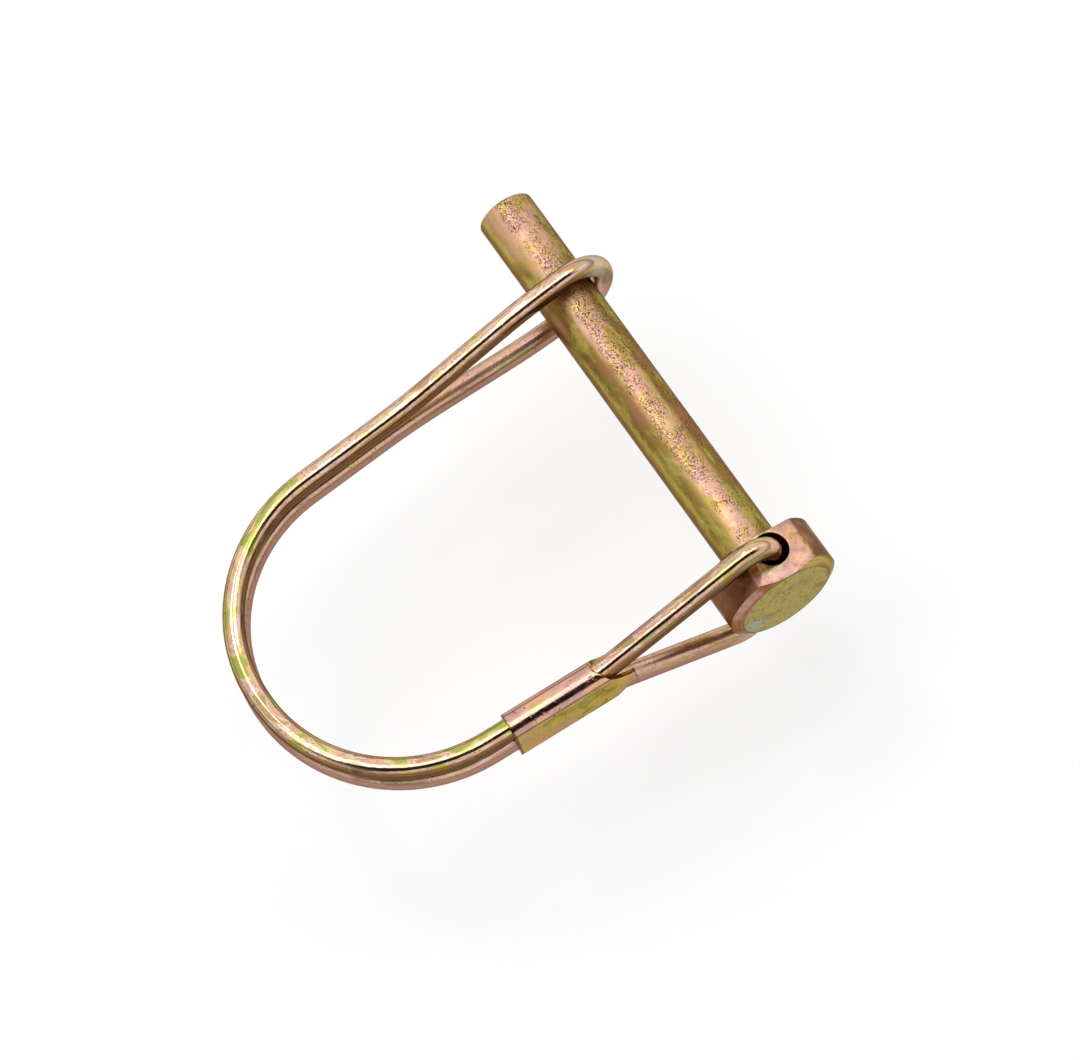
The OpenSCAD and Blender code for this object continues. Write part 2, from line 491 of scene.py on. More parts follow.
@dataclass(frozen=True)
class HeadFinish(Finish):
    """Head's sides and flats, pink to mauve with gold by the hole, and painted brown shade
    underneath and on the round sides.
    """

    hole_x: float = -2.0 * MM
    hole_radius: float = 1.85 * MM
    flat_z: float = 5.4 * MM
    flat_way: Triple = (0.0, -0.208, 0.978)

    def surface(self, board: Board) -> tuple[Socket, Socket, Socket]:
        """Builds the head's pattern from the pin's own coordinates.

        Args:
            board: The material's tree.

        Returns:
            The sockets of its colour, its roughness and its normal.
        """
        place = self.place(board)
        split = board.parts(place)
        clouds = board.noise(place, 230, 4, 0.55, 0.8)
        colour = board.ramp(clouds, [(0.32, Hue.DEEP_GOLD), (0.38, Hue.SALMON), (0.46, Hue.ROSE),
                                     (0.53, Hue.MAUVE), (0.61, Hue.ROSE), (0.70, Hue.COPPER)])
        sideways = board.math("SUBTRACT", split[0], self.hole_x)
        reach = board.add("ShaderNodeCombineXYZ", {0: sideways, 1: split[1]}).outputs[0]
        reach = board.length(reach)
        ring = board.span(reach, self.hole_radius + 0.35 * MM, self.hole_radius + 0.9 * MM, 0.8, 0)
        colour = board.mix(ring, colour, Hue.STRAW)
        colour = board.mix(0.22, colour, Hue.BROWN)
        mottle = board.noise(place, 1500, 4, 0.6)
        colour = board.mix(board.span(mottle, 0.50, 0.75, 0.0, 0.6), colour, Hue.BROWN)
        # painted shade: brown on the head's round sides, away from the flats
        lean = board.along(place, self.flat_way)
        turned = board.span(board.math("ABSOLUTE", lean), self.flat_z - 0.2 * MM,
                            self.flat_z - 0.05 * MM, 0.9, 0.0)
        colour = board.mix(board.times(turned, board.span(clouds, 0.3, 0.5, 0.5, 1.0)),
                           colour, Hue.BROWN)
        # painted shade: brown over the head's +Y side, broken up by the clouds
        shade = board.span(split[1], 0.6 * MM, 3.6 * MM)
        shade = board.times(shade, board.span(clouds, 0.42, 0.58, 0.9, 0.15))
        colour = board.mix(shade, colour, Hue.BROWN)
        roughness = board.span(mottle, 0.3, 0.7, 0.22, 0.36)
        grain = board.bump(board.noise(place, 3800, 4, 0.6), 0.012 * MM)
        return colour, roughness, grain


@dataclass(frozen=True)
class ChamferFinish(Finish):
    """The head's turned chamfer: mauve with brown and copper as painted shade, gold on one side,
    with fine tool lines round it.
    """

    def surface(self, board: Board) -> tuple[Socket, Socket, Socket]:
        """Builds the chamfer's pattern from the pin's own coordinates.

        Args:
            board: The material's tree.

        Returns:
            The sockets of its colour, its roughness and its normal.
        """
        place = self.place(board)
        split = board.parts(place)
        clouds = board.noise(place, 260, 3, 0.55)
        # painted shade: the chamfer's base runs to brown and copper, darker than the head's
        # plating
        colour = board.ramp(clouds, [(0.36, Hue.BROWN), (0.48, Hue.COPPER), (0.58, Hue.MAUVE),
                                     (0.70, Hue.BROWN)])
        gold = board.math("MULTIPLY_ADD", clouds, -3 * MM, split[1])
        colour = board.mix(board.span(gold, -3.0 * MM, -4.6 * MM, 0.0, 0.85), colour, Hue.LEAF)
        turned = board.noise(board.stretched(place, (8.0, 0.15, 0.15)), 1100, 2)
        colour = board.mix(board.span(turned, 0.46, 0.66, 0.15, 0.75), colour, Hue.BROWN)
        roughness = board.span(turned, 0.3, 0.7, 0.24, 0.38)
        grain = board.bump(board.noise(place, 3800, 4, 0.6), 0.008 * MM)
        return colour, roughness, board.bump(turned, 0.01 * MM, grain)


@dataclass(frozen=True)
class EndFinish(Finish):
    """The head's flat end: pale olive green, with brown specks and a brown rim."""

    radius: float = 5.35 * MM
    patch: Triple = (0.0, -4.4 * MM, 1.7 * MM)

    def surface(self, board: Board) -> tuple[Socket, Socket, Socket]:
        """Builds the end face's pattern from the pin's own coordinates.

        Args:
            board: The material's tree.

        Returns:
            The sockets of its colour, its roughness and its normal.
        """
        place = self.place(board)
        split = board.parts(place)
        flat = board.add("ShaderNodeCombineXYZ", {1: split[1], 2: split[2]}).outputs[0]
        reach = board.length(flat)
        clouds = board.noise(place, 620, 5, 0.68, 0.3)
        colour = board.ramp(clouds, [(0.36, Hue.OLIVE), (0.46, Hue.PALE_GREEN),
                                     (0.56, Hue.LEAF), (0.66, Hue.OLIVE)])
        colour = board.mix(0.30, colour, Hue.PALE_GREEN)
        fine = board.noise(place, 2600, 4, 0.7)
        colour = board.mix(board.span(fine, 0.45, 0.75, 0.0, 0.5), colour, Hue.OLIVE)
        off = board.add("ShaderNodeVectorMath", {0: flat, 1: self.patch}, operation="ADD")
        off = board.length(off.outputs[0])
        off = board.math("ADD", off, board.times(clouds, 1.6 * MM))
        colour = board.mix(board.span(off, 1.2 * MM, 3.0 * MM, 0.75, 0.0), colour, Hue.BLUE_GREY)
        specks = board.span(board.noise(place, 2600, 4, 0.65), 0.56, 0.64)
        where = board.span(board.noise(place, 500, 2), 0.42, 0.58, 0.25, 1.0)
        specks = board.times(specks, where)
        colour = board.mix(board.times(specks, 0.95), colour, Hue.BROWN)
        rim = board.span(reach, 0.955 * self.radius, 0.985 * self.radius)
        colour = board.mix(board.times(rim, 0.75), colour, Hue.BROWN)
        roughness = board.span(clouds, 0.3, 0.7, 0.30, 0.42)
        grain = board.bump(board.noise(place, 2800, 4, 0.6), 0.012 * MM)
        return colour, roughness, board.bump(specks, -0.01 * MM, grain)


@dataclass(frozen=True)
class HoleFinish(Finish):
    """The cross hole's wall, painted dark as the shade inside the hole."""

    def surface(self, board: Board) -> tuple[Socket, Socket, Socket]:
        """Builds the hole's pattern from the pin's own coordinates.

        Args:
            board: The material's tree.

        Returns:
            The sockets of its colour, its roughness and its normal.
        """
        place = self.place(board)
        clouds = board.noise(place, 900, 3)
        # painted shade: near-black and dark brown stand for the shade inside the hole
        colour = board.ramp(clouds, [(0.30, Hue.PIT), (0.75, Hue.BROWN)])
        colour = board.mix(0.55, colour, Hue.PIT)
        roughness = board.span(clouds, 0.3, 0.7, 0.35, 0.5)
        return colour, roughness, board.bump(board.noise(place, 3000, 3), 0.01 * MM)


@dataclass(frozen=True)
class SheetFinish(Finish):
    """Folded sheet, mottled yellow green and rose, with brown nicks and a brown line of painted
    shade along the fold.
    """

    fold_z: float = 2.62 * MM
    middle_y: float = 24.1 * MM
    half_length: float = 7.1 * MM

    def surface(self, board: Board) -> tuple[Socket, Socket, Socket]:
        """Builds the sheet's pattern from the ferrule's own coordinates.

        Args:
            board: The material's tree.

        Returns:
            The sockets of its colour, its roughness and its normal.
        """
        place = self.place(board)
        split = board.parts(place)
        clouds = board.noise(board.stretched(place, (1, 0.55, 1)), 360, 5, 0.62, 0.5)
        back = board.ramp(clouds, [(0.34, Hue.LIME), (0.40, Hue.OLIVE), (0.46, Hue.LEAF),
                                   (0.52, Hue.GOLD), (0.57, Hue.MAUVE), (0.62, Hue.LEAF),
                                   (0.70, Hue.OLIVE)])
        fine = board.noise(place, 1900, 4, 0.7)
        back = board.mix(board.span(fine, 0.46, 0.70, 0.10, 0.5), back, Hue.DEEP_GOLD)
        front = board.ramp(clouds, [(0.32, Hue.LEAF), (0.41, Hue.SALMON), (0.50, Hue.ROSE),
                                    (0.58, Hue.MAUVE), (0.66, Hue.GOLD)])
        height = board.math("ABSOLUTE", split[2])
        colour = board.mix(board.span(height, 2.2 * MM, 2.7 * MM), back, front)
        # painted shade: a brown line along the fold's crease
        fold = board.math("ABSOLUTE", board.math("SUBTRACT", height, self.fold_z))
        colour = board.mix(board.span(fold, 0.03 * MM, 0.15 * MM, 0.85, 0.0), colour, Hue.BROWN)
        end = board.math("ABSOLUTE", board.math("SUBTRACT", split[1], self.middle_y))
        end = board.span(end, self.half_length - 0.28 * MM, self.half_length - 0.06 * MM)
        colour = board.mix(board.times(end, 0.85), colour, Hue.EDGE)
        specks = board.span(board.noise(place, 2600, 4, 0.65), 0.58, 0.66)
        where = board.span(board.noise(place, 600, 2), 0.46, 0.60)
        specks = board.times(specks, where)
        colour = board.mix(board.times(specks, 0.9), colour, Hue.PIT)
        roughness = board.span(board.noise(place, 1100, 4), 0.3, 0.7, 0.07, 0.18)
        ripple = board.bump(board.noise(place, 600, 3), 0.018 * MM)
        grain = board.bump(board.noise(place, 4200, 3), 0.004 * MM, ripple)
        return colour, roughness, board.bump(specks, -0.012 * MM, grain)


def join_ring(bm: bmesh.types.BMesh, verts: list) -> list:
    """Lists the edges that run between the given vertices.

    Args:
        bm: The mesh; not used.
        verts: Vertices of one ring.

    Returns:
        The ring's edges.
    """
    ring = set(verts)
    return [e for v in verts for e in v.link_edges if e.other_vert(v) in ring and e.verts[0] == v]


def sharp_edges(bm: bmesh.types.BMesh, least: float) -> list:
    """Lists the edges whose two faces meet at a sharp angle.

    Args:
        bm: The mesh.
        least: Least angle, in radians.

    Returns:
        The sharp edges.
    """
    return [e for e in bm.edges if len(e.link_faces) == 2 and e.calc_face_angle(0) > least]


def mesh_of(bm: bmesh.types.BMesh, name: str) -> bpy.types.Mesh:
    """Makes a mesh of a bmesh.

    Args:
        bm: The bmesh, which is freed.
        name: The mesh's name.

    Returns:
        The mesh.
    """
    mesh = bpy.data.meshes.new(name)
    bm.to_mesh(mesh)
    bm.free()
    return mesh


def shown(name: str, data: bpy.types.ID) -> bpy.types.Object:
    """Makes an object and adds it to the scene.

    Args:
        name: The object's name.
        data: Its mesh, lamp or camera.

    Returns:
        The object.
    """
    made = bpy.data.objects.new(name, data)
    bpy.context.scene.collection.objects.link(made)
    return made


def as_piece(
    bm: bmesh.types.BMesh, name: str, finishes: list[Finish], node: str, body: str
) -> bpy.types.Object:
    """Turns a finished mesh into a piece that stands for a CAD node.

    Args:
        bm: The mesh, which is freed.
        name: The piece's name.
        finishes: Finishes, in the order of the faces' material numbers.
        node: CAD node that the piece stands for.
        body: CAD body that it rides on.

    Returns:
        The piece.
    """
    bmesh.ops.dissolve_degenerate(bm, dist=SLIVER, edges=bm.edges)
    mesh = mesh_of(bm, name)
    for finish in finishes:
        mesh.materials.append(finish.material())
    piece = shown(name, mesh)
    even = piece.modifiers.new("even_normals", "WEIGHTED_NORMAL")
    even.mode = "FACE_AREA"
    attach(piece, body)
    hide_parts(node)
    LOG.info("%s: %d faces", name, len(mesh.polygons))
    return piece


@dataclass
class HeadedPin:
    """The pin: shank, head, two flats and the cross hole."""

    chamfer_len: float = 0.6 * MM
    chamfer_depth: float = 1.0 * MM
    flat_depth: float = 0.95 * MM
    hole_radius: float = 1.85 * MM
    hole_x: float = -2.0 * MM
    shank_radius: float = 3.175 * MM
    tip_round: float = 0.35 * MM
    root_round: float = 0.25 * MM
    edge_round: float = 0.06 * MM
    turn_steps: int = 176
    hole_steps: int = 72
    lip: float = 0.12 * MM
    land: float = 0.12 * MM
    lip_steps: int = 4
    round_steps: int = 6
    chamfer_slope: float = 0.2
    sharp_turn: float = math.radians(25)
    roll: float = field(init=False)
    tip_x: float = field(init=False)
    end_x: float = field(init=False)
    head_radius: float = field(init=False)

    def __post_init__(self) -> None:
        """Reads the pin's outer sizes and the head's turn from the frame."""
        low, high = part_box("pin")
        self.tip_x, self.end_x, self.head_radius = high.x, low.x, high.y
        axis = Vector(frame["joints"][0]["axis"])
        self.roll = math.atan2(-axis.y, axis.z)

    def outline(self) -> list[Vector]:
        """Draws the turned outline in the X-Z plane.

        Returns:
            Its points, from the tip's face to the end face.
        """
        steps = self.round_steps
        points = [Vector((self.tip_x, 0, self.shank_radius - self.tip_round))]
        centre = Vector((self.tip_x - self.tip_round, 0, self.shank_radius - self.tip_round))
        for step in range(1, steps + 1):
            turn = math.pi / 2 * step / steps
            points.append(centre + self.tip_round * Vector((math.cos(turn), 0, math.sin(turn))))
        centre = Vector((self.root_round, 0, self.shank_radius + self.root_round))
        for step in range(steps + 1):
            turn = math.pi / 2 * step / steps
            points.append(centre - self.root_round * Vector((math.sin(turn), 0, math.cos(turn))))
        points.append(Vector((0, 0, self.head_radius)))
        points.append(Vector((self.end_x + self.chamfer_len, 0, self.head_radius)))
        points.append(Vector((self.end_x, 0, self.head_radius - self.chamfer_depth)))
        return points

    def turned(self) -> bmesh.types.BMesh:
        """Turns the outline about the pin's axis and closes its two flat ends.

        Returns:
            The mesh.
        """
        bm = bmesh.new()
        verts = [bm.verts.new(point) for point in self.outline()]
        edges = [bm.edges.new(pair) for pair in zip(verts, verts[1:])]
        bmesh.ops.spin(bm, geom=verts + edges, cent=(0, 0, 0), axis=X_AXIS, angle=FULL_TURN,
                       steps=self.turn_steps, use_merge=True)
        bmesh.ops.remove_doubles(bm, verts=bm.verts, dist=MERGE)
        bmesh.ops.holes_fill(bm, edges=[e for e in bm.edges if e.is_boundary], sides=0)
        bmesh.ops.recalc_face_normals(bm, faces=bm.faces)
        return bm

    def cut_flat(self, bm: bmesh.types.BMesh, side: int) -> list:
        """Cuts one flat and rings the cross hole's rounded lip in it.

        Args:
            bm: The turned mesh.
            side: 1 for the flat on the upper side, -1 for the other.

        Returns:
            The edges of the hole's mouth, inside its lip.
        """
        out = side * Vector((0, -math.sin(self.roll), math.cos(self.roll)))
        height = self.head_radius - self.flat_depth
        geom = bm.verts[:] + bm.edges[:] + bm.faces[:]
        bmesh.ops.bisect_plane(bm, geom=geom, dist=MERGE, plane_co=out * height, plane_no=out,
                               clear_outer=True)
        rim = [e for e in bm.edges
               if e.is_boundary and abs(e.verts[0].co.dot(out) - height) < SAME_LEVEL]
        flip = 0 if side > 0 else math.pi
        turn = Matrix.Translation((self.hole_x, 0, 0)) @ Matrix.Rotation(self.roll + flip, 4, "X")
        wide = self.hole_radius + self.lip + self.land
        place = turn @ Matrix.Translation((0, 0, height))
        ring = bmesh.ops.create_circle(bm, cap_ends=False, segments=self.hole_steps, radius=wide,
                                       matrix=place)["verts"]
        bmesh.ops.triangle_fill(bm, edges=rim + join_ring(bm, ring), use_beauty=True, normal=out)
        for share in range(self.lip_steps + 1):
            lean = math.pi / 2 * share / self.lip_steps
            narrow = self.hole_radius + self.lip * (1 - math.sin(lean))
            sunk = self.lip * (1 - math.cos(lean))
            lower = turn @ Matrix.Translation((0, 0, height - sunk))
            grown = bmesh.ops.extrude_edge_only(bm, edges=join_ring(bm, ring))["geom"]
            ring = [v for v in grown if isinstance(v, bmesh.types.BMVert)]
            step = lower @ Matrix.Scale(narrow / wide, 4) @ place.inverted()
            bmesh.ops.transform(bm, matrix=step, verts=ring)
            place, wide = lower, narrow
        return join_ring(bm, ring)

    def build(self) -> bpy.types.Object:
        """Makes the pin.

        Returns:
            The piece.
        """
        bm = self.turned()
        mouths = [edge for side in (1, -1) for edge in self.cut_flat(bm, side)]
        wall = bmesh.ops.bridge_loops(bm, edges=mouths)["faces"]
        bmesh.ops.recalc_face_normals(bm, faces=bm.faces)
        for face in bm.faces:
            face.material_index = self.zone_of(face)
        for face in wall:
            face.material_index = Zone.HOLE
        sharp = [e for e in sharp_edges(bm, self.sharp_turn)
                 if not any(face.material_index == Zone.HOLE for face in e.link_faces)]
        bmesh.ops.bevel(bm, geom=sharp, offset=self.edge_round, segments=2, profile=0.5,
                        affect="EDGES", material=-1, clamp_overlap=True)
        for face in bm.faces:
            face.smooth = True
        finishes = [
            ShankFinish("pitted_shank", self.shank_radius),
            HeadFinish("turned_head"),
            ChamferFinish("turned_chamfer"),
            EndFinish("stamped_end", self.head_radius - self.chamfer_depth),
            HoleFinish("dark_hole"),
        ]
        return as_piece(bm, "headed_pin", finishes, "pin", "pin")

    def zone_of(self, face: bmesh.types.BMFace) -> Zone:
        """Tells which surface a face belongs to by where it lies.

        Args:
            face: A face of the pin.

        Returns:
            The face's surface.
        """
        middle = face.calc_center_median()
        if middle.x < self.end_x + self.edge_round:
            return Zone.END
        if abs(face.normal.x) > self.chamfer_slope and middle.x < self.end_x + self.chamfer_len:
            return Zone.CHAMFER
        return Zone.HEAD if middle.x < self.root_round / 8 else Zone.SHANK


@dataclass
class WireBail:
    """The bail: one length of spring wire, bent along straight runs and round arcs."""

    radius: float = 1.19 * MM
    strand_z: float = 1.66 * MM
    arch_reach: float = 50.5 * MM
    eye_x: float = 36.0 * MM
    eye_z: float = (3.175 + 0.22 + 1.19) * MM
    upper_lean: float = math.radians(3.3)
    lower_lean: float = math.radians(2.0)
    eye_part_y: float = 21 * MM
    eye_straight_y: float = 5 * MM
    part_bend: float = 8 * MM
    spread_bend: float = 40 * MM
    leg_rise: float = 4.9 * MM
    leg_shift: float = 0.6 * MM
    leg_bend: float = 2.4 * MM
    leg_part_y: float = 20.3 * MM
    flat_z: float = 5.4 * MM
    ends_y: float = 24.1 * MM
    ends_gap: float = 0.4 * MM
    crown: float = 0.3 * MM
    ring_steps: int = 40
    bend_step: float = math.radians(3.0)
    run_step: float = 1.5 * MM
    hinge: Vector = field(init=False)
    hinge_dir: Vector = field(init=False)
    lay: bmesh.types.BMLayerItem = field(init=False)
    ring: list = field(init=False)
    travelled: float = field(init=False)

    def __post_init__(self) -> None:
        """Reads the hinge line from the frame's joint."""
        joint = frame["joints"][0]
        self.hinge = Vector(joint["pos_m"])
        self.hinge_dir = Vector(joint["axis"])

    def lower(self, y: float, side: float) -> Vector:
        """Returns the point of the lower run at a distance from the pin's axis, on one side."""
        x = self.hinge.x + (y - self.hinge.y) * math.tan(self.lower_lean)
        return Vector((x, y, side * self.strand_z))

    def upper(self, y: float, z: float) -> Vector:
        """Returns the point of the upper run at a distance from the pin's axis, at a height."""
        return Vector((self.eye_x - y * math.tan(self.upper_lean), y, z))

    def corners(self) -> list[tuple[Vector, float]]:
        """Lists the route's corners.

        Returns:
            Each corner with the radius of the bend that rounds it.
        """
        span = self.upper(self.arch_reach, 0).x - self.lower(self.arch_reach, 0).x - self.crown
        quarter = math.pi / 2
        arch = span / (math.tan((quarter - self.upper_lean) / 2)
                       + math.tan((quarter - self.lower_lean) / 2))

        def strand(side: int) -> list[tuple[Vector, float]]:
            """Lists one strand's corners, from the arch to the eye's crown.

            Args:
                side: 1 for the upper strand, -1 for the other.

            Returns:
                Each corner with the radius of its bend.
            """
            return [
                (self.lower(self.arch_reach, side), arch),
                (self.upper(self.arch_reach, side * self.strand_z), arch),
                (self.upper(self.eye_part_y, side * self.strand_z), self.spread_bend),
                (self.upper(self.eye_straight_y, side * self.eye_z), self.spread_bend),
                (self.upper(-self.eye_z, side * self.eye_z), self.eye_z - self.crown / 2),
            ]

        legs = [
            (self.hinge + side * (self.flat_z + self.leg_rise - side * self.leg_shift)
             * self.hinge_dir, self.leg_bend)
            for side in (1, -1)
        ]
        return [
            (self.lower(self.ends_y - self.ends_gap / 2, 1), 0.0),
            (self.lower(self.leg_part_y, 1), self.part_bend),
            *legs,
            (self.lower(self.leg_part_y, -1), self.part_bend),
            *strand(-1),
            *reversed(strand(1)),
            (self.lower(self.ends_y + self.ends_gap / 2, 1), 0.0),
        ]

    def build(self) -> bpy.types.Object:
        """Makes the wire by pushing and turning one ring along the route.

        Returns:
            The piece.
        """
        route = self.corners()
        points = [corner for corner, _ in route]
        heads = [(b - a).normalized() for a, b in zip(points, points[1:])]
        bm = bmesh.new()
        self.lay = bm.verts.layers.float_vector.new("lay")
        self.ring = self.first_ring(bm, points[0], heads[0])
        bmesh.ops.contextual_create(bm, geom=join_ring(bm, self.ring))
        self.travelled = 0.0
        start = points[0]
        for index, head in enumerate(heads):
            last = index == len(heads) - 1
            corner, radius = route[index + 1]
            turn = 0.0 if last else head.angle(heads[index + 1])
            trim = radius * math.tan(turn / 2)
            end = corner - trim * head
            self.push(bm, end - start)
            if not last:
                self.bend(bm, end, head, heads[index + 1], radius, turn)
                start = corner + trim * heads[index + 1]
        bmesh.ops.contextual_create(bm, geom=join_ring(bm, self.ring))
        bmesh.ops.recalc_face_normals(bm, faces=bm.faces)
        for face in bm.faces:
            face.smooth = len(face.verts) == 4
        finish = WireFinish("drawn_wire", self.radius)
        return as_piece(bm, "spring_wire", [finish], "bail_wire", "bail")

    def first_ring(self, bm: bmesh.types.BMesh, place: Vector, head: Vector) -> list:
        """Makes the wire's first ring and marks each vertex with its unrolled place.

        Args:
            bm: The mesh.
            place: The ring's centre.
            head: The wire's direction there.

        Returns:
            The ring's vertices.
        """
        side = head.cross(Z_AXIS).normalized()
        matrix = Matrix((side, Z_AXIS, side.cross(Z_AXIS))).transposed().to_4x4()
        matrix.translation = place
        ring = bmesh.ops.create_circle(bm, cap_ends=False, segments=self.ring_steps,
                                       radius=self.radius, matrix=matrix)["verts"]
        for vert in ring:
            out = vert.co - place
            vert[self.lay] = Vector((0, out.dot(side), out.dot(Z_AXIS)))
        return ring

    def advance(self, ring: list, step: float) -> None:
        """Takes a new ring as the wire's end and marks how far along it lies.

        Args:
            ring: The new ring's vertices.
            step: Its distance from the ring before it.
        """
        self.travelled += step
        self.ring = ring
        for vert in ring:
            vert[self.lay] = Vector((self.travelled, *vert[self.lay][1:]))

    def push(self, bm: bmesh.types.BMesh, way: Vector) -> None:
        """Draws a straight run.

        Args:
            bm: The mesh.
            way: The run's direction and length.
        """
        count = max(1, round(way.length / self.run_step))
        for _ in range(count):
            grown = bmesh.ops.extrude_edge_only(bm, edges=join_ring(bm, self.ring))["geom"]
            ring = [v for v in grown if isinstance(v, bmesh.types.BMVert)]
            bmesh.ops.translate(bm, verts=ring, vec=way / count)
            self.advance(ring, way.length / count)

    def bend(
        self, bm: bmesh.types.BMesh, start: Vector, head: Vector, out: Vector, radius: float,
        turn: float,
    ) -> None:
        """Draws a round bend.

        Args:
            bm: The mesh.
            start: Where the bend starts.
            head: The wire's direction there.
            out: Its direction where the bend ends.
            radius: The bend's centreline radius.
            turn: The angle it turns through.
        """
        axis = head.cross(out).normalized()
        centre = start + radius * axis.cross(head)
        count = max(2, math.ceil(turn / self.bend_step))
        for _ in range(count):
            grown = bmesh.ops.spin(bm, geom=join_ring(bm, self.ring), cent=centre, axis=axis,
                                   angle=turn / count, steps=1)["geom_last"]
            ring = [v for v in grown if isinstance(v, bmesh.types.BMVert)]
            self.advance(ring, radius * turn / count)


@dataclass
class Ferrule:
    """The ferrule: a folded sheet round the two strands, open along its front seam."""

    bail: WireBail
    length: float = 14.2 * MM
    near_y: float = 17.0 * MM
    wall: float = 0.5 * MM
    half_x: float = (1.19 - 0.03 + 0.5) * MM
    half_z: float = (1.66 + 1.19 - 0.03 + 0.5) * MM
    crown_radius: float = 2.35 * MM
    crown_turn: float = math.radians(38)
    seam: float = 0.3 * MM
    mouth_radius: float = 4.2 * MM
    mouth_depth: float = 3.3 * MM
    tongue: float = 2.3 * MM
    mouth_lean: float = math.radians(24)
    edge_round: float = 0.05 * MM
    sharp_turn: float = math.radians(40)
    slack: float = 0.004 * MM
    length_steps: int = 56
    punch_steps: int = 160
    fold_step: float = math.radians(7.5)

    def outline(self, bm: bmesh.types.BMesh) -> None:
        """Draws one half of the sheet's outer outline, from the seam round to the back's middle.

        Args:
            bm: The mesh to draw in.
        """
        front = self.half_x
        strand = self.half_z - front
        crown_x = -self.crown_radius * math.sin(self.crown_turn)
        drop = self.crown_radius * (1 - math.cos(self.crown_turn))
        rest = math.pi / 2 - self.crown_turn
        fold = (self.half_x + crown_x) / (1 - math.sin(self.crown_turn))
        crown_z = self.half_z - self.crown_radius
        fold_at = Vector((fold - self.half_x, 0, self.half_z - drop
                          - fold * math.cos(self.crown_turn)))
        last = bm.verts.new((front, 0, self.seam / 2))
        last = self.line(bm, last, Vector((0, 0, strand - self.seam / 2)))
        arcs = [(Vector((0, 0, strand)), math.pi / 2),
                (Vector((0, 0, crown_z)), self.crown_turn), (fold_at, rest)]
        for centre, turn in arcs:
            steps = max(2, round(turn / self.fold_step))
            grown = bmesh.ops.spin(bm, geom=[last], cent=centre, axis=-Y_AXIS, angle=turn,
                                   steps=steps)["geom_last"]
            last = next(v for v in grown if isinstance(v, bmesh.types.BMVert))
        self.line(bm, last, Vector((0, 0, -last.co.z)))

    @staticmethod
    def line(bm: bmesh.types.BMesh, vert: bmesh.types.BMVert, way: Vector) -> bmesh.types.BMVert:
        """Draws a straight edge.

        Args:
            bm: The mesh to draw in.
            vert: The vertex that the edge starts from.
            way: The edge's direction and length.

        Returns:
            The vertex at the edge's far end.
        """
        grown = bmesh.ops.extrude_vert_indiv(bm, verts=[vert])["verts"]
        bmesh.ops.translate(bm, verts=grown, vec=way)
        return grown[0]

    def folded(self) -> bmesh.types.BMesh:
        """Folds the sheet: half an outline is mirrored, drawn out along Y and given its wall.

        Returns:
            The mesh of the sheet.
        """
        bm = bmesh.new()
        self.outline(bm)
        bmesh.ops.translate(bm, verts=bm.verts, vec=(0, -self.length / 2, 0))
        bmesh.ops.mirror(bm, geom=bm.verts[:] + bm.edges[:], axis="Z", merge_dist=MERGE)
        bmesh.ops.remove_doubles(bm, verts=bm.verts, dist=MERGE)
        edges = bm.edges[:]
        step = Vector((0, self.length / self.length_steps, 0))
        for _ in range(self.length_steps):
            grown = bmesh.ops.extrude_edge_only(bm, edges=edges)["geom"]
            moved = [v for v in grown if isinstance(v, bmesh.types.BMVert)]
            edges = [e for e in grown if isinstance(e, bmesh.types.BMEdge)
                     and abs(e.verts[0].co.y - e.verts[1].co.y) < SAME_LEVEL
                     and e.verts[0] in moved and e.verts[1] in moved]
            bmesh.ops.translate(bm, verts=moved, vec=step)
        bmesh.ops.recalc_face_normals(bm, faces=bm.faces)
        outward = sum(f.normal.dot(f.calc_center_median()) for f in bm.faces)
        if outward < 0:
            bmesh.ops.reverse_faces(bm, faces=bm.faces)
        bmesh.ops.solidify(bm, geom=bm.faces[:], thickness=self.wall)
        bmesh.ops.recalc_face_normals(bm, faces=bm.faces)
        return bm

    def cutter(self, side: int) -> bpy.types.Object:
        """Makes the punch that cuts one mouth.

        Args:
            side: 1 for the upper mouth, -1 for the other.

        Returns:
            The punch, which is deleted after the cut.
        """
        start = self.mouth_depth - self.mouth_radius
        z = self.tongue / 2 + math.sqrt(self.mouth_radius**2 - start**2)
        turn = Matrix.Rotation(self.mouth_lean, 4, "Z") @ Matrix.Rotation(math.pi / 2, 4, "Y")
        place = Matrix.Translation((-self.half_x, -self.length / 2 + start, side * z)) @ turn
        bm = bmesh.new()
        bmesh.ops.create_cone(bm, cap_ends=True, segments=self.punch_steps,
                              radius1=self.mouth_radius, radius2=self.mouth_radius,
                              depth=6 * self.half_x, matrix=place)
        return shown("punch", mesh_of(bm, "punch"))

    def punched(self, bm: bmesh.types.BMesh) -> bmesh.types.BMesh:
        """Cuts the two mouths.

        Args:
            bm: The folded sheet, which is freed.

        Returns:
            The cut mesh.
        """
        sheet = shown("sheet", mesh_of(bm, "sheet"))
        punches = [self.cutter(side) for side in (1, -1)]
        for punch in punches:
            cut = sheet.modifiers.new("mouth", "BOOLEAN")
            cut.operation, cut.solver, cut.object = "DIFFERENCE", "EXACT", punch
        bpy.context.view_layer.update()
        shape = sheet.evaluated_get(bpy.context.evaluated_depsgraph_get()).to_mesh()
        made = bmesh.new()
        made.from_mesh(shape)
        for used in [sheet, *punches]:
            bpy.data.objects.remove(used)
        return made

    def build(self) -> bpy.types.Object:
        """Makes the ferrule and sets it on the lower run.

        Returns:
            The piece.
        """
        bm = self.punched(self.folded())
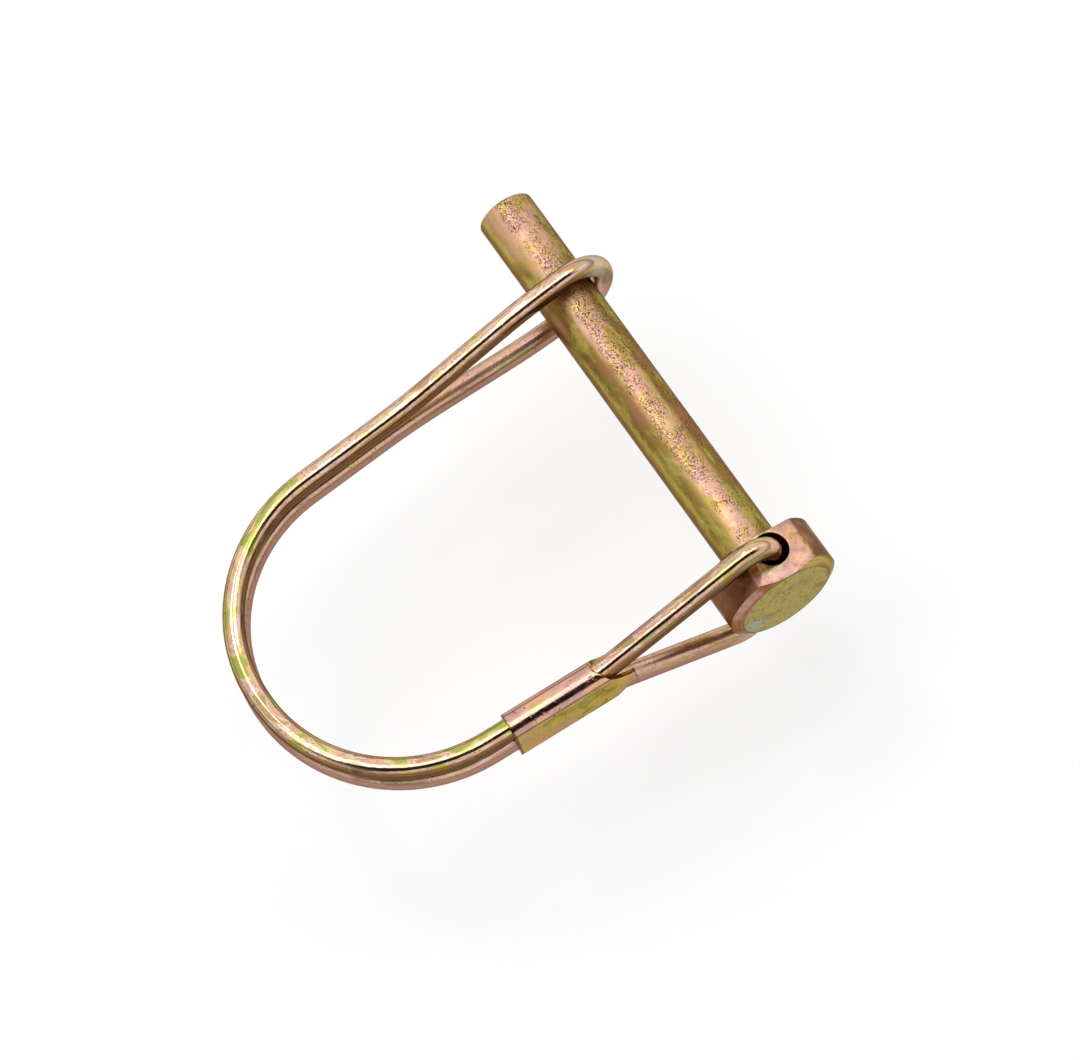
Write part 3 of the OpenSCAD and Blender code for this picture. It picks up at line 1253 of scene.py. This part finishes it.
        # the cut leaves its vertices in an order that changes, and merging depends on it
        bm.verts.sort(key=lambda vert: vert.co.dot(SORT_WAY))
        bmesh.ops.remove_doubles(bm, verts=bm.verts, dist=self.slack)
        bmesh.ops.recalc_face_normals(bm, faces=bm.faces)
        bmesh.ops.bevel(bm, geom=sharp_edges(bm, self.sharp_turn), offset=self.edge_round,
                        segments=2, profile=0.5, affect="EDGES", material=-1,
                        clamp_overlap=True)
        middle = self.bail.lower(self.near_y + self.length / 2, 0)
        place = Matrix.Translation(middle) @ Matrix.Rotation(-self.bail.lower_lean, 4, "Z")
        bmesh.ops.transform(bm, matrix=place, verts=bm.verts)
        for face in bm.faces:
            face.smooth = True
        return as_piece(bm, "crimped_ferrule", [SheetFinish("folded_sheet")], "ferrule", "bail")


@dataclass
class Studio:
    """The floor, the light tent and the camera."""

    lens: float = 206.67
    sensor: float = 36.0
    clip: tuple[float, float] = (0.01, 20.0)
    place: Vector = field(default_factory=lambda: Vector((-217.7, 77.0, 595.7)) * MM)
    right: Vector = field(default_factory=lambda: Vector((-0.5405, -0.8316, -0.1274)))
    up: Vector = field(default_factory=lambda: Vector((0.7589, -0.5473, 0.3529)))
    floor_size: float = 6.0
    floor_gap: float = 1 * MM
    swing_steps: int = 50
    floor_grey: float = 0.6
    floor_glow: float = 0.42
    light_reach: float = 1.8
    slit_across: Triple = (0.937, 0, 0.35)

    def camera(self) -> None:
        """Sets the camera at the object's viewing angle."""
        data = bpy.data.cameras.new("camera")
        data.lens = self.lens
        data.sensor_width = self.sensor
        data.sensor_fit = "HORIZONTAL"
        data.clip_start, data.clip_end = self.clip
        eye = shown("camera", data)
        right = self.right.normalized()
        back = right.cross(self.up).normalized()
        turn = Matrix((right, back.cross(right), back)).transposed().to_4x4()
        eye.matrix_world = Matrix.Translation(self.place) @ turn
        bpy.context.scene.camera = eye

    def floor(self, piece: bpy.types.Object) -> None:
        """Lays a plain pale floor, just low enough that the swinging piece clears it.

        Args:
            piece: The piece that swings.
        """
        joint = frame["joints"][0]
        hinge, axis = Vector(joint["pos_m"]), Vector(joint["axis"])
        swing = math.radians(max(joint["range_deg"]))
        lows = [CAD_BOX[0][2]]
        for step in range(self.swing_steps + 1):
            down = Matrix.Rotation(swing * step / self.swing_steps, 3, axis)[2]
            lows.append(hinge.z + min(down.dot(v.co - hinge) for v in piece.data.vertices))
        bm = bmesh.new()
        bmesh.ops.create_grid(bm, x_segments=1, y_segments=1, size=self.floor_size / 2,
                              matrix=Matrix.Translation((0, 0, min(lows) - self.floor_gap)))
        made = bpy.data.materials.new("pale_floor")
        made.use_nodes = True
        board = Board(made.node_tree)
        grey = (self.floor_grey, self.floor_grey, self.floor_grey, 1)
        matt = board.add("ShaderNodeBsdfDiffuse", {"Color": grey})
        glow = board.add("ShaderNodeEmission", {"Color": WHITE, "Strength": self.floor_glow})
        both = board.add("ShaderNodeAddShader", {0: matt.outputs[0], 1: glow.outputs[0]})
        board.add("ShaderNodeOutputMaterial", {0: both.outputs[0]})
        ground = shown("floor", mesh_of(bm, "floor"))
        ground.data.materials.append(made)
        LOG.info("floor: %.1f mm under the pin's axis", -min(lows) / MM)

    def softbox(self, name: str, way: Vector, size: tuple[float, float], level: float) -> None:
        """Hangs a softbox that faces the object.

        Args:
            name: Its name.
            way: Direction that it hangs in, seen from the object.
            size: Its width and its height along Y, in metres.
            level: How bright it looks, where 1 is white.
        """
        data = bpy.data.lights.new(name, "AREA")
        data.shape = "RECTANGLE"
        data.size, data.size_y = size
        data.energy = level * math.pi * size[0] * size[1]
        away = way.normalized()
        side = Y_AXIS.cross(away).normalized()
        turn = Matrix((side, away.cross(side), away)).transposed().to_4x4()
        lamp = shown(name, data)
        lamp.matrix_world = Matrix.Translation(away * self.light_reach) @ turn

    def tent(self) -> None:
        """Lights the scene from a pale tent with a dark slit in its top."""
        world = bpy.data.worlds.new("tent")
        world.use_nodes = True
        board = Board(world.node_tree)
        way = board.add("ShaderNodeTexCoord").outputs["Generated"]
        split = board.parts(way)
        across = board.along(way, self.slit_across)
        # a dark slit along Y overhead, which ends before the tent's far and low parts
        clear = board.span(board.math("ABSOLUTE", across), 0.23, 0.31, 0.0, 1.0)
        beyond = board.span(board.math("ABSOLUTE", board.math("SUBTRACT", split[1], 0.1)),
                            0.45, 0.90, 0.0, 1.0)
        low = board.span(split[2], 0.25, 0.45, 1.0, 0.0)
        slit = board.math("MAXIMUM", clear, board.math("MAXIMUM", beyond, low))
        # one side is a little brighter at its near end, and the walls are dimmer than the top
        shade = board.span(split[1], 0.22, 0.50, 1.12, 0.95)
        level = board.mix(board.span(across, -0.05, 0.15), WHITE, shade)
        walls = board.span(split[2], 0.05, 0.40, 0.45, 1.0)
        level = board.times(level, walls)
        strength = board.times(level, board.math("MULTIPLY_ADD", slit, 0.98, 0.02))
        light = board.add("ShaderNodeBackground", {"Color": WHITE, "Strength": strength})
        board.add("ShaderNodeOutputWorld", {0: light.outputs[0]})
        bpy.context.scene.world = world
        bpy.context.scene.view_settings.view_transform = "Standard"


def main() -> None:
    """Builds the studio and the three pieces."""
    studio = Studio()
    studio.camera()
    studio.tent()
    studio.softbox("key", Vector((0.10, 0.0, 1.0)), (0.70, 2.6), 1.4)
    studio.softbox("rim", Vector((0.42, 0.10, 0.90)), (0.30, 0.26), 6.0)
    HeadedPin().build()
    bail = WireBail()
    studio.floor(bail.build())
    Ferrule(bail).build()
    bpy.context.view_layer.update()


if __name__ == "__main__":
    main()
